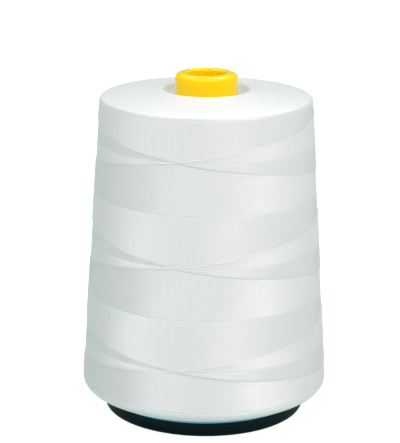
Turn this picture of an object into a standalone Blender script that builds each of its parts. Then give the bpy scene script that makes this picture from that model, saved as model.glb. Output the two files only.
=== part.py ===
"""Cone of sewing thread: a package of thread wound on a tapered plastic core.

Three pieces make it. The core is a hollow yellow cone with a rounded nose, the foot is a dark
moulded dish that the core stands in, and the package is the thread itself, wound on the core
in two crossing layers. Metres, +Z up. The axis of the cone is Z, and the origin is the centre
of the foot's underside, on the surface that it stands on.
"""
import math

import bpy

MM = 0.001

# Driving dimensions of the whole cone
HEIGHT = 170 * MM               # from the surface to the top of the nose
SEGMENTS = 60                   # flats around each turned piece
CLEARANCE = 0.3 * MM            # between pieces that touch

# Core: a hollow cone of 5 degrees 57 minutes a side, with a straight, rounded nose
TAPER = math.tan(math.radians(5.95))
NOSE_RADIUS = 15.2 * MM
NOSE_BOTTOM = 159.5 * MM        # where the nose meets the taper
NOSE_ROUNDING_WIDTH = 4 * MM    # the nose's rim is rounded to a quarter of an ellipse
NOSE_ROUNDING_HEIGHT = 2 * MM
CORE_BOTTOM = 2.5 * MM
CORE_WALL = 1.8 * MM
MOUTH_RADIUS = 9.2 * MM         # hole in the nose
MOUTH_ROUNDING = 1.0 * MM
MOUTH_DEPTH = 6 * MM            # straight depth of that hole
MOUTH_FLARE = 4 * MM            # height over which it widens to the core's inside

# Foot: a dish with an outer wall, a top plate with a thin lip, and a collar for the core
FOOT_RADIUS = 50 * MM
FOOT_TOP = 11.2 * MM
PLATE_THICKNESS = 3.0 * MM
LIP_RADIUS = 52 * MM
LIP_ROUNDING = 0.6 * MM
SOLE_OUTER_RADIUS = 47.2 * MM   # the flat ring that rests on the surface
SOLE_INNER_RADIUS = 42.4 * MM
FOOT_ROUNDING_HEIGHT = 3.0 * MM
FOOT_INSIDE_RADIUS = 46.8 * MM
FOOT_INSIDE_SHOULDER = 4.8 * MM
COLLAR_OUTER_RADIUS = 34.5 * MM
COLLAR_BOTTOM = 0.8 * MM
SEAT_INNER_RADIUS = 28.5 * MM   # a ledge inside the collar, under the core's wall

# Package: the taper of the wound thread, its two ends and the hollow around the nose
PACKAGE_BOTTOM = FOOT_TOP + CLEARANCE
BELLY_RADIUS = 61.1 * MM        # largest radius, where the bottom rounding ends
BELLY_HEIGHT = 16.2 * MM
BOTTOM_ROUNDING = 4.2 * MM
SHOULDER_RADIUS = 52.1 * MM
SHOULDER_HEIGHT = 156.5 * MM    # where the taper meets the rounded top edge
SHOULDER_ROUNDING = 1.9 * MM
DIMPLE_RADIUS = 21.9 * MM       # rim of the hollow around the nose
DIMPLE_RIM = 162 * MM
DIMPLE_ROUNDING = 2.2 * MM
DIMPLE_FLOOR = 159 * MM
DIMPLE_FLOOR_RADIUS = 16.6 * MM
SIDE_ROWS = 28                  # rows of flats down the taper

# Winding: two crossing helices of thread, each with one raised edge a turn
LEAD = 50 * MM                  # height that the thread climbs in a turn
RISING_EDGE = 39.2 * MM         # height of the rising thread's edge at the front (-Y)
FALLING_EDGE = 34.0 * MM        # height of the falling thread's edge there
EDGE_RELIEF = 0.5 * MM          # how far the newest layer stands above the oldest
EDGE_WIDTH = 0.2                # part of the lead over which a layer steps down
FADE_HEIGHT = 9 * MM            # the relief dies out over this height at both ends


def core_radius(height):
    """Outer radius of the core's taper at a height."""
    return NOSE_RADIUS + TAPER * (NOSE_BOTTOM - height)


def rounding(centre, radii, start, end, steps):
    """Points on an arc of an ellipse, as (radius, height), from one angle to another."""
    points = []
    for step in range(steps + 1):
        angle = math.radians(start + (end - start) * step / steps)
        points.append((centre[0] + radii[0] * math.cos(angle), centre[1] + radii[1] * math.sin(angle)))
    return points


def core_outline():
    """The core's section: down its outside from the nose's crest, and back up its inside."""
    rim_centre = (NOSE_RADIUS - NOSE_ROUNDING_WIDTH, HEIGHT - NOSE_ROUNDING_HEIGHT)
    mouth_centre = (MOUTH_RADIUS + MOUTH_ROUNDING, HEIGHT - MOUTH_ROUNDING)
    mouth_bottom = HEIGHT - MOUTH_DEPTH
    inside_top = mouth_bottom - MOUTH_FLARE
    outline = rounding(rim_centre, (NOSE_ROUNDING_WIDTH, NOSE_ROUNDING_HEIGHT), 90, 0, 5)
    outline.append((NOSE_RADIUS, NOSE_BOTTOM))
    outline.append((core_radius(CORE_BOTTOM), CORE_BOTTOM))
    outline.append((core_radius(CORE_BOTTOM) - CORE_WALL, CORE_BOTTOM))
    outline.append((core_radius(NOSE_BOTTOM) - CORE_WALL, NOSE_BOTTOM))
    outline.append((NOSE_RADIUS - CORE_WALL, inside_top))
    outline.append((MOUTH_RADIUS, mouth_bottom))
    outline += rounding(mouth_centre, (MOUTH_ROUNDING, MOUTH_ROUNDING), 180, 90, 2)
    return outline


def foot_outline():
    """The foot's section: out over the plate, down the outer wall, and back under it."""
    plate_bottom = FOOT_TOP - PLATE_THICKNESS
    seat_top = CORE_BOTTOM - CLEARANCE
    lip_centre = LIP_RADIUS - LIP_ROUNDING
    lip_radii = (LIP_ROUNDING, LIP_ROUNDING)
    sole_rounding = (FOOT_RADIUS - SOLE_OUTER_RADIUS, FOOT_ROUNDING_HEIGHT)
    outline = [(core_radius(FOOT_TOP) + CLEARANCE, FOOT_TOP)]
    outline += rounding((lip_centre, FOOT_TOP - LIP_ROUNDING), lip_radii, 90, 0, 2)
    outline += rounding((lip_centre, plate_bottom + LIP_ROUNDING), lip_radii, 0, -90, 2)
    outline.append((FOOT_RADIUS, plate_bottom))
    outline += rounding((SOLE_OUTER_RADIUS, FOOT_ROUNDING_HEIGHT), sole_rounding, 0, -90, 5)
    outline.append((SOLE_INNER_RADIUS, 0))
    outline.append((FOOT_INSIDE_RADIUS, FOOT_INSIDE_SHOULDER))
    outline.append((FOOT_INSIDE_RADIUS, plate_bottom))
    outline.append((COLLAR_OUTER_RADIUS, plate_bottom))
    outline.append((COLLAR_OUTER_RADIUS, COLLAR_BOTTOM))
    outline.append((SEAT_INNER_RADIUS, COLLAR_BOTTOM))
    outline.append((SEAT_INNER_RADIUS, seat_top))
    outline.append((core_radius(seat_top) + CLEARANCE, seat_top))
    return outline


def package_outline():
    """The package's section: out over the top, down the taper, and up the bore on the core."""
    shoulder_centre = (SHOULDER_RADIUS - SHOULDER_ROUNDING, SHOULDER_HEIGHT)
    belly_centre = (BELLY_RADIUS - BOTTOM_ROUNDING, BELLY_HEIGHT)
    belly_radii = (BOTTOM_ROUNDING, BELLY_HEIGHT - PACKAGE_BOTTOM)
    dimple_centre = (DIMPLE_RADIUS, DIMPLE_RIM - DIMPLE_ROUNDING)
    outline = [(core_radius(DIMPLE_FLOOR) + CLEARANCE, DIMPLE_FLOOR), (DIMPLE_FLOOR_RADIUS, DIMPLE_FLOOR)]
    outline += rounding(dimple_centre, (DIMPLE_ROUNDING, DIMPLE_ROUNDING), 140, 82, 3)
    outline += rounding(shoulder_centre, (SHOULDER_ROUNDING, SHOULDER_ROUNDING), 82, 0, 4)
    for row in range(1, SIDE_ROWS):
        part = row / SIDE_ROWS
        outline.append((SHOULDER_RADIUS + (BELLY_RADIUS - SHOULDER_RADIUS) * part,
                        SHOULDER_HEIGHT + (BELLY_HEIGHT - SHOULDER_HEIGHT) * part))
    outline += rounding(belly_centre, belly_radii, 0, -90, 4)
    outline.append((core_radius(PACKAGE_BOTTOM) + CLEARANCE, PACKAGE_BOTTOM))
    return outline


def layer_height(turns):
    """Height of a wound layer, 0 to 1: it thickens over a turn, then steps down at its edge."""
    phase = (turns + EDGE_WIDTH / 2) % 1
    if phase < EDGE_WIDTH:
        return 1 - phase / EDGE_WIDTH
    return (phase - EDGE_WIDTH) / (1 - EDGE_WIDTH)


def winding_relief(position):
    """How far the surface of the package stands out at a point of its taper."""
    around = math.atan2(position.x, -position.y) / (2 * math.pi)
    rising = (position.z - RISING_EDGE) / LEAD - around
    falling = (position.z - FALLING_EDGE) / LEAD + around
    mean_height = (layer_height(rising) + layer_height(-falling)) / 2
    to_end = min(position.z - BELLY_HEIGHT, SHOULDER_HEIGHT - position.z)
    fade = min(max(to_end / FADE_HEIGHT, 0), 1)
    return EDGE_RELIEF * (mean_height - 0.5) * fade


def plastic_or_thread(name, colour, roughness, specular):
    """A Principled material with the piece's own colour."""
    material = bpy.data.materials.new(name)
    material.use_nodes = True
    shader = material.node_tree.nodes["Principled BSDF"]
    shader.inputs["Base Color"].default_value = (*colour, 1)
    shader.inputs["Roughness"].default_value = roughness
    shader.inputs["Metallic"].default_value = 0
    shader.inputs["Specular IOR Level"].default_value = specular
    material.diffuse_color = (*colour, 1)
    return material


def turned(name, outline, material, collection):
    """An object turned from a closed section by a Screw modifier."""
    count = len(outline)
    mesh = bpy.data.meshes.new(name)
    vertices = [(radius, 0, height) for radius, height in outline]
    edges = [(index, (index + 1) % count) for index in range(count)]
    mesh.from_pydata(vertices, edges, [])
    mesh.materials.append(material)
    piece = bpy.data.objects.new(name, mesh)
    collection.objects.link(piece)
    screw = piece.modifiers.new("Turn", "SCREW")
    screw.axis = "Z"
    screw.steps = SEGMENTS
    screw.render_steps = SEGMENTS
    screw.use_merge_vertices = True
    screw.merge_threshold = 0.01 * MM
    screw.use_smooth_shade = True
    return piece


def wind(package):
    """Give a turned package the crossing layers of its winding."""
    bpy.context.view_layer.update()
    depsgraph = bpy.context.evaluated_depsgraph_get()
    mesh = bpy.data.meshes.new_from_object(package.evaluated_get(depsgraph))
    for vertex in mesh.vertices:
        outward = vertex.co.copy()
        outward.z = 0
        if BELLY_HEIGHT < vertex.co.z < SHOULDER_HEIGHT and outward.length > SHOULDER_RADIUS:
            vertex.co += outward.normalized() * winding_relief(vertex.co)
    package.modifiers.clear()
    package.data = mesh
    mesh.shade_smooth()
    mesh.set_sharp_from_angle(angle=math.radians(35))


def main():
    for item in list(bpy.data.objects):
        bpy.data.objects.remove(item, do_unlink=True)
    collection = bpy.data.collections.new("thread_cone")
    bpy.context.scene.collection.children.link(collection)

    yellow = plastic_or_thread("yellow_plastic", (0.96, 0.58, 0.01), 0.25, 0.5)
    black = plastic_or_thread("black_plastic", (0.004, 0.008, 0.011), 0.2, 0.5)
    white = plastic_or_thread("white_thread", (0.76, 0.77, 0.77), 0.75, 0.3)

    turned("cone_core", core_outline(), yellow, collection)
    turned("base_foot", foot_outline(), black, collection)
    package = turned("thread_package", package_outline(), white, collection)
    wind(package)


main()
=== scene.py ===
# %% [markdown]
# # A cone of sewing thread
#
# The object is a package of white thread wound on a hollow yellow core, which stands in a dark
# moulded foot. Its solids are already packed as a fixed frame, in metres, with the axis of the
# cone on Z and its foot on the floor. This lesson loads that frame and gives each piece its
# finished surface: two moulded plastics, and the thread itself, laid turn by turn.

import math
import random

import bmesh
import bpy
from mathutils import Matrix, Vector


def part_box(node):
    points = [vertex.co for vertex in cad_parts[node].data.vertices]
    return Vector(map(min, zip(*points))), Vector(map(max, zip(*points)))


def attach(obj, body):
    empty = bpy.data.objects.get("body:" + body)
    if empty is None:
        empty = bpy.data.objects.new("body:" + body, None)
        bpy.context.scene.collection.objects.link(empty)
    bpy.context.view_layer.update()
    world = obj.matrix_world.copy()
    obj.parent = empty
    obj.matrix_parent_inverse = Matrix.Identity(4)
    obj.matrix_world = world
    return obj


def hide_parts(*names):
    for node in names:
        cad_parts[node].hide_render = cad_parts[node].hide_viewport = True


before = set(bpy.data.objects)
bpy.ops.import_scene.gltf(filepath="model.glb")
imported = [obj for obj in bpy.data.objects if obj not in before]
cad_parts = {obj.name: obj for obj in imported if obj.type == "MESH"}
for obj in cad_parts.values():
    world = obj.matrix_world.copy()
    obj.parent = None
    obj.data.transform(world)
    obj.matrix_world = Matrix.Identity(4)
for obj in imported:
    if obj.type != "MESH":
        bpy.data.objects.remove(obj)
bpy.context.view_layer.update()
MM = 0.001
print("frame:", ", ".join(sorted(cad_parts)))

# %% [markdown]
# ## Sizes
#
# The frame gives the outer sizes, so nothing here can drift away from the solids. What the boxes
# can't say, such as where a taper ends and a rounding begins, is written as a few millimetres.

# %% Sizes read from the frame
package_low, package_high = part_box("thread_package")
core_low, core_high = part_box("cone_core")
foot_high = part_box("base_foot")[1]

HEIGHT = core_high.z
BELLY_RADIUS = package_high.x
PACKAGE_BOTTOM = package_low.z
DIMPLE_RIM = package_high.z
LIP_RADIUS = foot_high.x
FOOT_TOP = foot_high.z
CORE_BOTTOM = core_low.z
CORE_BOTTOM_RADIUS = core_high.x
print(f"belly radius {BELLY_RADIUS / MM:.1f} mm, foot lip radius {LIP_RADIUS / MM:.1f} mm")

# %% [markdown]
# ## The camera
#
# A long lens from about 0.9 m, a little above the cone, keeps its sides nearly straight. The
# camera is turned down by the pitch, and leans by less than half a degree.

# %% Camera
CAMERA_PLACE = Vector((-2.6, -869.9, 335.7)) * MM
CAMERA_PITCH = math.radians(15.48)
CAMERA_LEAN = math.radians(0.45)
CAMERA_LENS = 147.9

camera_data = bpy.data.cameras.new("camera")
camera_data.lens = CAMERA_LENS
camera_data.sensor_width = 36
camera = bpy.data.objects.new("camera", camera_data)
bpy.context.scene.collection.objects.link(camera)
turn_down = Matrix.Rotation(math.pi / 2 - CAMERA_PITCH, 4, "X")
lean = Matrix.Rotation(CAMERA_LEAN, 4, "Z")
camera.matrix_world = Matrix.Translation(CAMERA_PLACE) @ turn_down @ lean
bpy.context.scene.camera = camera
print("camera at", [round(value, 3) for value in CAMERA_PLACE])

# %% [markdown]
# ## Nodes and colours
#
# Materials are made of nodes. One helper adds a node, sets its values and makes its links, and
# one turns a colour as a screen shows it (sRGB) into the linear numbers that light needs.

# %% Helpers for nodes and colours
def linear(hex_colour):
    """Linear red, green, blue and alpha of an sRGB hex colour."""
    channels = [int(hex_colour[start:start + 2], 16) / 255 for start in (1, 3, 5)]
    return (*[c / 12.92 if c <= 0.04045 else ((c + 0.055) / 1.055) ** 2.4 for c in channels], 1)


def add_node(tree, kind, settings=None, values=None, links=None):
    """A new node in a tree: its settings, the values on its inputs, and the links into them."""
    node = tree.nodes.new(kind)
    for name, setting in (settings or {}).items():
        setattr(node, name, setting)
    for socket, value in (values or {}).items():
        node.inputs[socket].default_value = value
    for socket, source in (links or {}).items():
        tree.links.new(source, node.inputs[socket])
    return node


def new_material(name, colour, roughness, specular):
    """A material with a Principled shader, and that shader."""
    material = bpy.data.materials.new(name)
    material.use_nodes = True
    shader = material.node_tree.nodes["Principled BSDF"]
    shader.inputs["Base Color"].default_value = linear(colour)
    shader.inputs["Roughness"].default_value = roughness
    shader.inputs["Specular IOR Level"].default_value = specular
    return material, shader


# %% [markdown]
# ## The studio
#
# The cone stands on a light table: opal acrylic lit from below, so the floor stays white and
# hardly any shadow shows. Two panels high on the left and the right do most of the work, and
# their place matters: a thread shines like a fine rod, so each panel brings out the turns that
# lie square to it. A small panel over the left, a wide one in front and two behind fill in the
# rest. The room and the floor look white, yet give only a weak, cool light.

# %% Floor and room
FLOOR_SIDE = 12.0
FLOOR_LIGHT = 0.31                # strength of the floor's glow as a light
FLOOR_SHOWN = 0.95                # and where the camera sees it
ROOM_LIGHT = 0.32
ROOM_SHOWN = 1.0

floor_mesh = bpy.data.meshes.new("floor")
floor = bpy.data.objects.new("floor", floor_mesh)
bpy.context.scene.collection.objects.link(floor)
shape = bmesh.new()
bmesh.ops.create_grid(shape, x_segments=1, y_segments=1, size=FLOOR_SIDE / 2)
shape.to_mesh(floor_mesh)
shape.free()
opal, shader = new_material("opal_acrylic", "#A9BCBA", 0.5, 0.2)
floor_mesh.materials.append(opal)

world = bpy.data.worlds.new("studio")
world.use_nodes = True
bpy.context.scene.world = world
background = world.node_tree.nodes["Background"]


def glow(tree, strength, light, shown):
    """Set a strength to one value as a light and to another where the camera sees it."""
    path = add_node(tree, "ShaderNodeLightPath")
    value = add_node(tree, "ShaderNodeMapRange", {}, {"To Min": light, "To Max": shown},
                     {"Value": path.outputs["Is Camera Ray"]})
    tree.links.new(value.outputs["Result"], strength)


shader.inputs["Emission Color"].default_value = linear("#F4FFF2")
glow(opal.node_tree, shader.inputs["Emission Strength"], FLOOR_LIGHT, FLOOR_SHOWN)
path = add_node(world.node_tree, "ShaderNodeLightPath")
room = add_node(world.node_tree, "ShaderNodeMixRGB", {},
                {"Color1": linear("#C2FFFD"), "Color2": linear("#FFFFFF")},
                {"Fac": path.outputs["Is Camera Ray"]})
world.node_tree.links.new(room.outputs["Color"], background.inputs["Color"])
glow(world.node_tree, background.inputs["Strength"], ROOM_LIGHT, ROOM_SHOWN)
bpy.context.scene.view_settings.view_transform = "Standard"
print("floor", FLOOR_SIDE, "m a side")

# %% Lights
def add_light(name, kind, place, colour, **settings):
    """A lamp or panel, aimed at the middle of the cone."""
    data = bpy.data.lights.new(name, kind)
    data.color = linear(colour)[:3]
    for setting, value in settings.items():
        setattr(data, setting, value)
    light = bpy.data.objects.new(name, data)
    aim = Vector((0, 0, HEIGHT / 2)) - Vector(place)
    light.matrix_world = Matrix.Translation(place) @ aim.to_track_quat("-Z", "Y").to_matrix().to_4x4()
    bpy.context.scene.collection.objects.link(light)
    return light


add_light("left_panel", "AREA", (-0.63, -0.23, 0.69), "#FFF0EE", energy=2.5, size=0.3)
add_light("left_top_panel", "AREA", (-0.35, -0.32, 0.85), "#FFF4F0", energy=1.2, size=0.3)
add_light("right_panel", "AREA", (0.48, -0.465, 0.69), "#FFF0EE", energy=5.7, size=0.6)
add_light("front_panel", "AREA", (0, -0.84, 0.79), "#FFDCF2", energy=2.9, size=1.1)
add_light("back_left_panel", "AREA", (-0.41, 1.22, 1.65), "#F6F0FF", energy=4, size=0.4)
add_light("back_right_panel", "AREA", (0.41, 1.22, 1.65), "#FFFFFF", energy=7, size=0.4)

# %% [markdown]
# ## Turned pieces
#
# The core, the foot and the body of the package are all round, so each is a section spun about
# the axis. The section is a closed loop, so the spun skin is closed too. Its round corners are
# arcs, and after the spin the normals are worked out again, because a spin can turn them inwards.

# %% Helpers for turned pieces
def arc(centre, radii, start, end, steps):
    """Points (radius, height) on an arc of an ellipse, from one angle to another in degrees."""
    angles = [math.radians(start + (end - start) * step / steps) for step in range(steps + 1)]
    return [(centre[0] + radii[0] * math.cos(a), centre[1] + radii[1] * math.sin(a)) for a in angles]


def spun(outline, steps):
    """A bmesh turned from a closed section."""
    shape = bmesh.new()
    ring = [shape.verts.new((radius, 0, height)) for radius, height in outline]
    edges = [shape.edges.new((ring[index - 1], ring[index])) for index in range(len(ring))]
    bmesh.ops.spin(shape, geom=ring + edges, cent=(0, 0, 0), axis=(0, 0, 1), angle=2 * math.pi,
                   steps=steps, use_merge=True)
    bmesh.ops.recalc_face_normals(shape, faces=shape.faces)
    return shape


def finished(name, shape, material, sharp_angle=35):
    """A piece from a bmesh: smooth, with its material, riding on the cone."""
    mesh = bpy.data.meshes.new(name)
    shape.to_mesh(mesh)
    shape.free()
    mesh.shade_smooth()
    mesh.set_sharp_from_angle(angle=math.radians(sharp_angle))
    mesh.materials.append(material)
    piece = bpy.data.objects.new(name, mesh)
    bpy.context.scene.collection.objects.link(piece)
    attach(piece, "root")
    print(f"{name}: {len(mesh.polygons)} faces")
    return piece


# %% [markdown]
# ## The core
#
# The core is injection-moulded polypropylene, dyed a warm yellow. Such plastic is smooth and a
# little waxy: it has a clear, soft highlight, and light goes a short way into it, so its hollow
# glows orange. Only its nose shows, and its hole goes down through the whole cone.

# %% Core plastic
core_plastic, shader = new_material("moulded_polypropylene_yellow", "#F6CF00", 0.2, 0.27)
shader.inputs["Subsurface Weight"].default_value = 0.9
shader.inputs["Subsurface Radius"].default_value = (1.0, 0.6, 0.05)
shader.inputs["Subsurface Scale"].default_value = 6 * MM
tree = core_plastic.node_tree
place = add_node(tree, "ShaderNodeTexCoord")
FLOW_SIZE = 6 * MM                # faint waves that the mould leaves in the skin
flow = add_node(tree, "ShaderNodeTexNoise", {}, {"Scale": 1 / FLOW_SIZE, "Detail": 2.0},
                {"Vector": place.outputs["Object"]})
waves = add_node(tree, "ShaderNodeBump", {}, {"Strength": 0.15, "Distance": 0.1 * MM},
                 {"Height": flow.outputs["Fac"]})
tree.links.new(waves.outputs["Normal"], shader.inputs["Normal"])

# %% Core
TAPER = math.tan(math.radians(5.95))
NOSE_BOTTOM = 159.5 * MM
NOSE_ROUNDING_WIDTH = 4 * MM
NOSE_ROUNDING_HEIGHT = 2 * MM
CORE_WALL = 1.8 * MM
MOUTH_RADIUS = 9.2 * MM
MOUTH_ROUNDING = 1.0 * MM
MOUTH_DEPTH = 6 * MM
MOUTH_FLARE = 4 * MM
NOSE_RADIUS = CORE_BOTTOM_RADIUS - TAPER * (NOSE_BOTTOM - CORE_BOTTOM)


def core_radius(height):
    """Outer radius of the core's taper at a height."""
    return NOSE_RADIUS + TAPER * (NOSE_BOTTOM - height)


nose_arc = arc((NOSE_RADIUS - NOSE_ROUNDING_WIDTH, HEIGHT - NOSE_ROUNDING_HEIGHT),
               (NOSE_ROUNDING_WIDTH, NOSE_ROUNDING_HEIGHT), 90, 0, 14)
mouth_arc = arc((MOUTH_RADIUS + MOUTH_ROUNDING, HEIGHT - MOUTH_ROUNDING),
                (MOUTH_ROUNDING, MOUTH_ROUNDING), 180, 90, 6)
core_section = nose_arc + [
    (NOSE_RADIUS, NOSE_BOTTOM),
    (CORE_BOTTOM_RADIUS, CORE_BOTTOM),
    (CORE_BOTTOM_RADIUS - CORE_WALL, CORE_BOTTOM),
    (NOSE_RADIUS - CORE_WALL, NOSE_BOTTOM),
    (NOSE_RADIUS - CORE_WALL, HEIGHT - MOUTH_DEPTH - MOUTH_FLARE),
    (MOUTH_RADIUS, HEIGHT - MOUTH_DEPTH)] + mouth_arc
core = finished("core_moulding", spun(core_section, 128), core_plastic)
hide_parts("cone_core")

# %% [markdown]
# ## The foot
#
# The foot is moulded too, in a dense plastic that looks black. Its thin lip sits just under the
# thread, where light catches its edge, and that light is painted into the colour. So the colour
# is a ramp over the height: a light blue-green painted highlight at the lip, and near black below it.

# %% Foot plastic
foot_plastic, shader = new_material("moulded_abs_black_painted_lip_highlight", "#05090C", 0.4, 0.06)
tree = foot_plastic.node_tree
place = add_node(tree, "ShaderNodeTexCoord")
axes = add_node(tree, "ShaderNodeSeparateXYZ", {}, {}, {"Vector": place.outputs["Object"]})
PLATE_THICKNESS = 3.0 * MM
PLATE_BOTTOM = FOOT_TOP - PLATE_THICKNESS
level = add_node(tree, "ShaderNodeMapRange", {},
                 {"From Min": 0.0, "From Max": FOOT_TOP}, {"Value": axes.outputs["Z"]})
# Painted highlight: the top of this height ramp paints the lip a light blue-green, standing in for light
# caught on its edge.
painted_lip_highlight = add_node(tree, "ShaderNodeValToRGB", {}, {}, {"Fac": level.outputs["Result"]})
painted_lip_highlight.color_ramp.elements[0].color = linear("#05090B")
painted_lip_highlight.color_ramp.elements[1].color = linear("#7FC4D0")
painted_lip_highlight.color_ramp.elements[1].position = 0.76
middle = painted_lip_highlight.color_ramp.elements.new(0.72)
middle.color = linear("#0A2630")
tree.links.new(painted_lip_highlight.outputs["Color"], shader.inputs["Base Color"])

# %% Foot
FOOT_RADIUS = 50 * MM
LIP_ROUNDING = 0.6 * MM
SOLE_OUTER_RADIUS = 47.2 * MM
SOLE_INNER_RADIUS = 42.4 * MM
FOOT_ROUNDING_HEIGHT = 3.0 * MM
FOOT_INSIDE_RADIUS = 46.8 * MM
FOOT_INSIDE_SHOULDER = 4.8 * MM
COLLAR_OUTER_RADIUS = 34.5 * MM
COLLAR_BOTTOM = 0.8 * MM
SEAT_INNER_RADIUS = 28.5 * MM
CLEARANCE = 0.3 * MM
SEAT_TOP = CORE_BOTTOM - CLEARANCE

lip_centre = LIP_RADIUS - LIP_ROUNDING
lip_top = arc((lip_centre, FOOT_TOP - LIP_ROUNDING), (LIP_ROUNDING, LIP_ROUNDING), 90, 0, 5)
lip_under = arc((lip_centre, PLATE_BOTTOM + LIP_ROUNDING), (LIP_ROUNDING, LIP_ROUNDING), 0, -90, 5)
sole_arc = arc((SOLE_OUTER_RADIUS, FOOT_ROUNDING_HEIGHT),
               (FOOT_RADIUS - SOLE_OUTER_RADIUS, FOOT_ROUNDING_HEIGHT), 0, -90, 10)
foot_section = [(core_radius(FOOT_TOP) + CLEARANCE, FOOT_TOP)] + lip_top + lip_under
foot_section += [(FOOT_RADIUS, PLATE_BOTTOM)] + sole_arc
foot_section += [
    (SOLE_INNER_RADIUS, 0),
    (FOOT_INSIDE_RADIUS, FOOT_INSIDE_SHOULDER),
    (FOOT_INSIDE_RADIUS, PLATE_BOTTOM),
    (COLLAR_OUTER_RADIUS, PLATE_BOTTOM),
    (COLLAR_OUTER_RADIUS, COLLAR_BOTTOM),
    (SEAT_INNER_RADIUS, COLLAR_BOTTOM),
    (SEAT_INNER_RADIUS, SEAT_TOP),
    (core_radius(SEAT_TOP) + CLEARANCE, SEAT_TOP)]
foot = finished("foot_moulding", spun(foot_section, 192), foot_plastic)
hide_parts("base_foot")

# %% [markdown]
# ## How the thread lies
#
# A winder turns the core while a guide carries the thread up and down, so the thread climbs in
# one helix and falls in another, and the two cross. Each pass lies beside the pass before it, so
# each family of turns has one edge where its newest turn ends and its oldest begins, and there
# the surface steps by one layer. Where the two families cross, the newer one lies on top. So the
# age of each family at a point gives both the height of the surface and the thread that shows.

# %% The winding, as functions of place
LEAD = 50 * MM                    # height that the thread climbs in one turn
RISING_EDGE = 39.3 * MM           # height of the rising family's edge at the front
FALLING_EDGE = 34.3 * MM
LAYER_STEP = 0.36 * MM            # how far the surface steps at an edge
EDGE_SHARE = 0.015                # part of a lead over which it steps


def rising_phase(around, height):
    """Place of a point between two edges of the rising family: 1 is newest, 0 is oldest."""
    return ((height - RISING_EDGE) / LEAD - around) % 1


def falling_phase(around, height):
    """The same for the falling family: 0 is newest, 1 is oldest."""
    return ((height - FALLING_EDGE) / LEAD + around) % 1


def layer_height(newness):
    """Height of a family's layers, 0 to 1, with its step at the edge a little rounded."""
    if newness > 1 - EDGE_SHARE:
        return (1 - newness) / EDGE_SHARE
    return newness / (1 - EDGE_SHARE)


BELLY_HEIGHT = 16.2 * MM
SHOULDER_RADIUS = 52.1 * MM
SHOULDER_HEIGHT = 156.5 * MM
FADE_HEIGHT = 6 * MM              # the steps die out over this height at both ends


def taper_radius(height):
    """Radius of the package's plain taper."""
    part = (height - BELLY_HEIGHT) / (SHOULDER_HEIGHT - BELLY_HEIGHT)
    return BELLY_RADIUS + (SHOULDER_RADIUS - BELLY_RADIUS) * part


def relief(around, height):
    """How far the layers stand out from the plain taper, minus to plus."""
    newness = layer_height(rising_phase(around, height)) + layer_height(1 - falling_phase(around, height))
    to_end = min(height - BELLY_HEIGHT, SHOULDER_HEIGHT - height)
    return LAYER_STEP * (newness - 1) * min(max(to_end / FADE_HEIGHT, 0), 1)


# %% [markdown]
# ## The thread
#
# The thread is spun polyester, bleached white. It is a little shiny along its length, with a
# faint fuzz of fibre ends, so its skin is not quite smooth. Light meets many fibres in it, one
# under the other, and each gives back a part, so the shine is set higher than for one surface.

# %% Thread material
thread_white, shader = new_material("spun_polyester_white", "#DCDCDC", 0.42, 1.0)
shader.inputs["IOR"].default_value = 1.75      # polyester alone is near 1.6
shader.inputs["Sheen Weight"].default_value = 0.1
shader.inputs["Sheen Roughness"].default_value = 0.4
tree = thread_white.node_tree
place = add_node(tree, "ShaderNodeTexCoord")
FUZZ_SIZE = 0.25 * MM
fuzz = add_node(tree, "ShaderNodeTexNoise", {}, {"Scale": 1 / FUZZ_SIZE, "Detail": 3.0},
                {"Vector": place.outputs["Object"]})
fuzz_bump = add_node(tree, "ShaderNodeBump", {}, {"Strength": 0.2, "Distance": 0.05 * MM},
                     {"Height": fuzz.outputs["Fac"]})
tree.links.new(fuzz_bump.outputs["Normal"], shader.inputs["Normal"])

# %% [markdown]
# ## The body of the package
#
# Under the turns that show lies the rest of the package. It is turned like the other pieces,
# then its taper is moved in and out by the relief of the layers, and it is sunk by a little, so
# that the turns laid on it next stand proud of it.

# %% Package body
THREAD_RADIUS = 0.22 * MM
BODY_STEPS = 144
BODY_ROWS = 110
SHOULDER_ROUNDING = 1.9 * MM
BOTTOM_ROUNDING = 4.2 * MM
DIMPLE_RADIUS = 21.9 * MM
DIMPLE_ROUNDING = 2.2 * MM
DIMPLE_FLOOR = 159 * MM
DIMPLE_FLOOR_RADIUS = 16.6 * MM

shoulder_arc = arc((SHOULDER_RADIUS - SHOULDER_ROUNDING, SHOULDER_HEIGHT),
                   (SHOULDER_ROUNDING, SHOULDER_ROUNDING), 82, 0, 8)
belly_arc = arc((BELLY_RADIUS - BOTTOM_ROUNDING, BELLY_HEIGHT),
                (BOTTOM_ROUNDING, BELLY_HEIGHT - PACKAGE_BOTTOM), 0, -90, 8)
dimple_arc = arc((DIMPLE_RADIUS, DIMPLE_RIM - DIMPLE_ROUNDING),
                 (DIMPLE_ROUNDING, DIMPLE_ROUNDING), 140, 82, 6)
taper_rows = [SHOULDER_HEIGHT + (BELLY_HEIGHT - SHOULDER_HEIGHT) * row / BODY_ROWS
              for row in range(1, BODY_ROWS)]

bore_top = [(core_radius(DIMPLE_FLOOR) + CLEARANCE, DIMPLE_FLOOR), (DIMPLE_FLOOR_RADIUS, DIMPLE_FLOOR)]
bore_bottom = [(core_radius(PACKAGE_BOTTOM) + CLEARANCE, PACKAGE_BOTTOM)]
package_section = bore_top + dimple_arc + shoulder_arc
package_section += [(taper_radius(height), height) for height in taper_rows]
package_section += belly_arc + bore_bottom

shape = spun(package_section, BODY_STEPS)
SINK = 0.2 * MM                   # the body lies this far under the turns
for vert in shape.verts:
    outward = Vector((vert.co.x, vert.co.y, 0))
    if BELLY_HEIGHT - MM < vert.co.z < SHOULDER_HEIGHT + MM and outward.length > SHOULDER_RADIUS - MM:
        around = math.atan2(vert.co.x, -vert.co.y) / (2 * math.pi)
        vert.co += outward.normalized() * (relief(around, vert.co.z) - SINK)
package = finished("wound_package", shape, thread_white)
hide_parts("thread_package")

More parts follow.
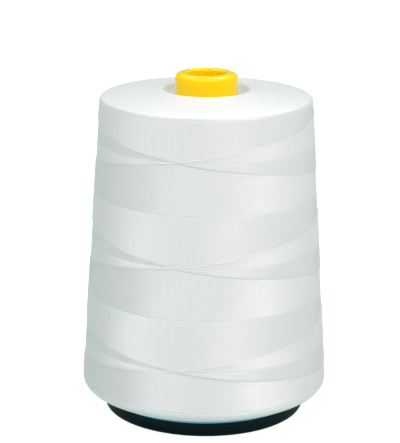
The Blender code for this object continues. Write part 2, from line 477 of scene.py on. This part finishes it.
# %% [markdown]
# ## Laying the turns
#
# Each turn that shows is a real strand: a curve with a thickness. For each strand of a family
# its phase is fixed, and along it the age of the other family changes, so it shows in runs and
# dives under in between. The thread is drawn thicker than the real one, 0.44 mm in place of about
# 0.25, so that a mesh of this size can hold every turn.

# %% Helpers for strands
TURN_POINTS = 72                  # points of a strand in a turn
STRANDS = 124                     # strands side by side in a lead
DIVE = 0.35 * MM                  # how far a strand goes down where the other family covers it
random.seed(7)


def strand_piece(name, runs, thickness, material):
    """One mesh of many strands, each a list of points."""
    curve = bpy.data.curves.new(name, "CURVE")
    curve.dimensions = "3D"
    curve.twist_mode = "Z_UP"
    curve.bevel_depth = thickness
    curve.bevel_resolution = 0
    curve.use_fill_caps = True
    for run in runs:
        spline = curve.splines.new("POLY")
        spline.points.add(len(run) - 1)
        for point, place in zip(spline.points, run):
            point.co = (*place, 1)
    guide = bpy.data.objects.new(name + "_guide", curve)
    bpy.context.scene.collection.objects.link(guide)
    depsgraph = bpy.context.evaluated_depsgraph_get()
    mesh = bpy.data.meshes.new_from_object(guide.evaluated_get(depsgraph))
    bpy.data.objects.remove(guide)
    shape = bmesh.new()
    shape.from_mesh(mesh)
    bpy.data.meshes.remove(mesh)
    bmesh.ops.remove_doubles(shape, verts=shape.verts, dist=0.001 * MM)
    return finished(name, shape, material, 80)


def place_at(radius, around, height):
    """A point on the package at a radius, a part of a turn from the front, and a height."""
    angle = 2 * math.pi * around
    return (radius * math.sin(angle), -radius * math.cos(angle), height)


def crossing(goes_over, before, after):
    """Where a strand changes between over and under, found by halving the way between two places."""
    over = goes_over(before)
    for _ in range(8):
        middle = (before + after) / 2
        if goes_over(middle) == over:
            before = middle
        else:
            after = middle
    return after


def family_runs(climb, edge, on_top):
    """The runs of one family's strands that show. Its height changes by climb in a turn."""
    runs = []
    stride = 1 / TURN_POINTS
    for strand in range(STRANDS):
        start = edge + LEAD * (strand + 0.5 + random.uniform(-0.12, 0.12)) / STRANDS
        proud = random.uniform(-0.025, 0.025) * MM

        def point(around, sunk=0):
            height = start + climb * around
            return place_at(taper_radius(height) + relief(around, height) + proud - THREAD_RADIUS - sunk,
                            around, height)

        def goes_over(around):
            return on_top(around, start + climb * around)

        ends = sorted(((BELLY_HEIGHT - start) / climb, (SHOULDER_HEIGHT - start) / climb))
        first = math.ceil(ends[0] * TURN_POINTS)
        last = math.floor(ends[1] * TURN_POINTS)
        run = []
        for step in range(first, last + 1):
            around = step * stride
            if goes_over(around):
                if not run:
                    rise = crossing(goes_over, around - stride, around) if step > first else around
                    run = [point(rise - stride / 2, DIVE), point(rise + stride / 2)]
                if around > rise + stride * 0.6:
                    run.append(point(around))
            elif run:
                fall = crossing(goes_over, around - stride, around)
                if fall > rise + stride * 1.2:
                    run[-1] = point(fall - stride / 2)
                run.append(point(fall + stride / 2, DIVE))
                runs.append(run)
                run = []
        if len(run) > 1:
            runs.append(run)
    return runs


def rising_on_top(around, height):
    return rising_phase(around, height) + falling_phase(around, height) > 1


def falling_on_top(around, height):
    return not rising_on_top(around, height)


# %% Rising and falling thread
EDGE_PROUD = 0.22 * MM            # the last rising strand stands proud and catches the light


def edge_run():
    """The last strand of the rising family, along its newest edge from the belly to the shoulder."""
    first = math.ceil((BELLY_HEIGHT - RISING_EDGE) / LEAD * TURN_POINTS)
    last = math.floor((SHOULDER_HEIGHT - RISING_EDGE) / LEAD * TURN_POINTS)
    run = []
    for step in range(first, last + 1):
        around = step / TURN_POINTS
        height = RISING_EDGE - THREAD_RADIUS + LEAD * around
        radius = taper_radius(height) + relief(around, height - THREAD_RADIUS) + EDGE_PROUD - THREAD_RADIUS
        run.append(place_at(radius, around, height))
    return run


rising_runs = family_runs(LEAD, RISING_EDGE, rising_on_top) + [edge_run()]
falling_runs = family_runs(-LEAD, FALLING_EDGE, falling_on_top)
strand_piece("rising_thread", rising_runs, THREAD_RADIUS, thread_white)
strand_piece("falling_thread", falling_runs, THREAD_RADIUS, thread_white)

# %% [markdown]
# ## The ends of the package
#
# At each end the thread turns back, and there it lies almost level. So the rounded edges, the
# top and the hollow around the nose are covered with rings that waver a little and cross.

# %% End turns
RING_PITCH = 0.45 * MM
RING_WAVER = 0.35 * MM            # how far a ring wanders to each side
RING_UNEVEN = 0.05 * MM           # how far a ring may lie above or below the next


def along(section, pitch):
    """Places at an even pitch along a section, each with the section's outward direction."""
    places = []
    left = 0
    for (r0, z0), (r1, z1) in zip(section, section[1:]):
        length = math.hypot(r1 - r0, z1 - z0)
        while left < length:
            part = left / length
            out = Vector((-(z1 - z0), r1 - r0)) / length
            places.append((r0 + (r1 - r0) * part, z0 + (z1 - z0) * part, out))
            left += pitch
        left -= length
    return places


def ring_runs(section, side):
    """Closed rings over a section. Side is 1 where out is to the left of the way along it."""
    runs = []
    for radius, height, out in along(section, RING_PITCH):
        shift = random.uniform(0, 2 * math.pi)
        waves = random.choice((1, 2, 3))
        lift = random.uniform(-RING_UNEVEN, RING_UNEVEN) - THREAD_RADIUS
        run = []
        for step in range(TURN_POINTS + 1):
            around = step / TURN_POINTS
            waver = RING_WAVER * math.sin(waves * 2 * math.pi * around + shift)
            r = radius + side * out.x * lift + out.y * waver
            z = height + side * out.y * lift - out.x * waver
            run.append(place_at(r, around, z))
        runs.append(run)
    return runs


top_section = list(reversed(bore_top[1:] + dimple_arc + shoulder_arc))
bottom_section = belly_arc
strand_piece("top_turns", ring_runs(top_section, -1), THREAD_RADIUS, thread_white)
strand_piece("bottom_turns", ring_runs(bottom_section, 1), THREAD_RADIUS, thread_white)
